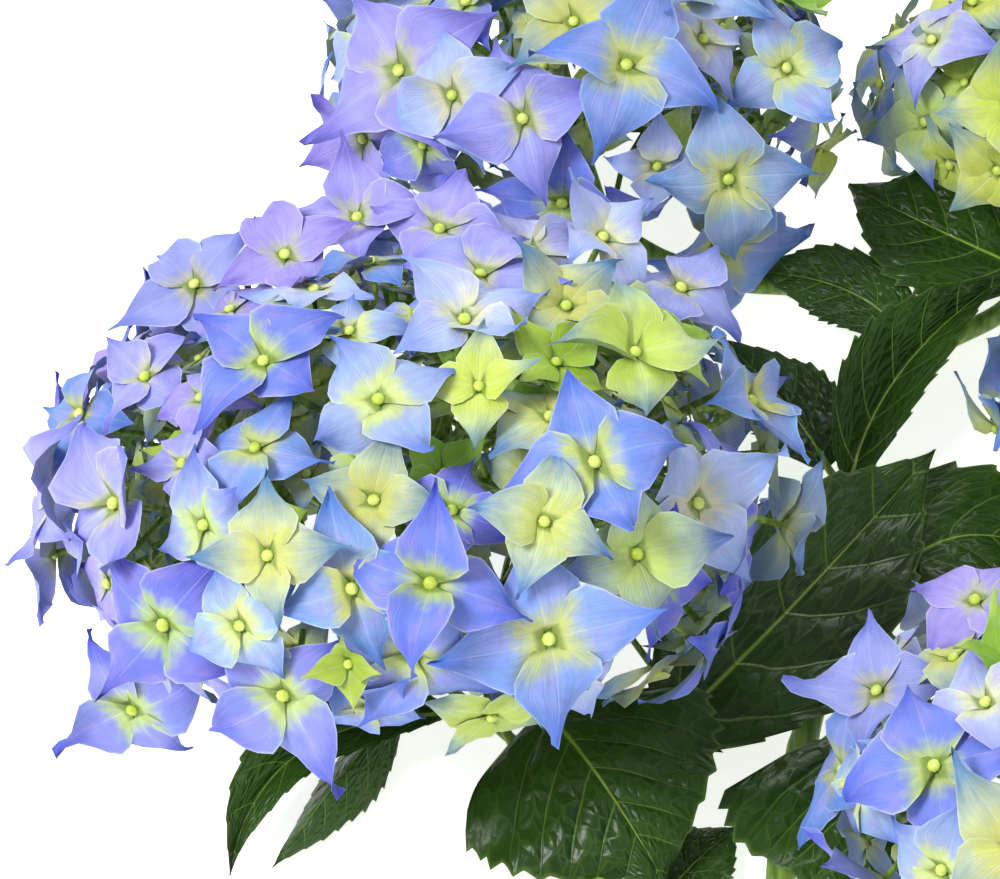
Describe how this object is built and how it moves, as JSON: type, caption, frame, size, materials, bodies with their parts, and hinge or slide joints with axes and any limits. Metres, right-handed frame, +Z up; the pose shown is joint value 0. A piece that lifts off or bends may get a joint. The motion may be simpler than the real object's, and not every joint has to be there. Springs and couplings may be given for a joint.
{
  "type": "cut hydrangea flowering branch",
  "caption": "Cut forked hydrangea branch lying flat, with rounded blue mophead blooms and broad toothed leaves in opposite pairs.",
  "frame": {"origin": "centre of the flat cut at the thick end of the main stem", "axes": "+Y from the cut along the branch towards the far blooms, +Z up from the surface that the branch lies on, +X to the right as seen from the cut end"},
  "size_m": [0.3575, 0.4872, 0.1354],
  "materials": {
    "petals": "matt, soft blue to violet with lime middles",
    "leaves": "satin deep green with paler veins",
    "stems": "smooth green bark with small pale pores"
  },
  "bodies": {
    "root": {"main_stem": "stems", "side_bough": "stems", "shoot_low_right": "stems", "shoot_right": "stems", "shoot_top": "stems", "leaf_front": "leaves", "leaf_broad_right": "leaves", "leaf_low_right": "leaves", "leaf_folded_left": "leaves", "leaf_narrow_left": "leaves", "leaf_far_right": "leaves", "leaf_top_right": "leaves", "leaf_upper": "leaves", "leaf_folded_right": "leaves", "leaf_young": "leaves", "leaf_tucked": "leaves", "leaf_lower_left": "leaves", "leaf_lower_right": "leaves", "leaf_right_edge": "leaves", "leaf_back_right": "leaves", "leaf_back": "leaves", "leaf_back_left": "leaves", "bloom_front": "petals", "bloom_top": "petals", "bloom_top_right": "petals", "bloom_low_right": "petals", "bloom_right": "petals"}
  },
  "joints": []
}
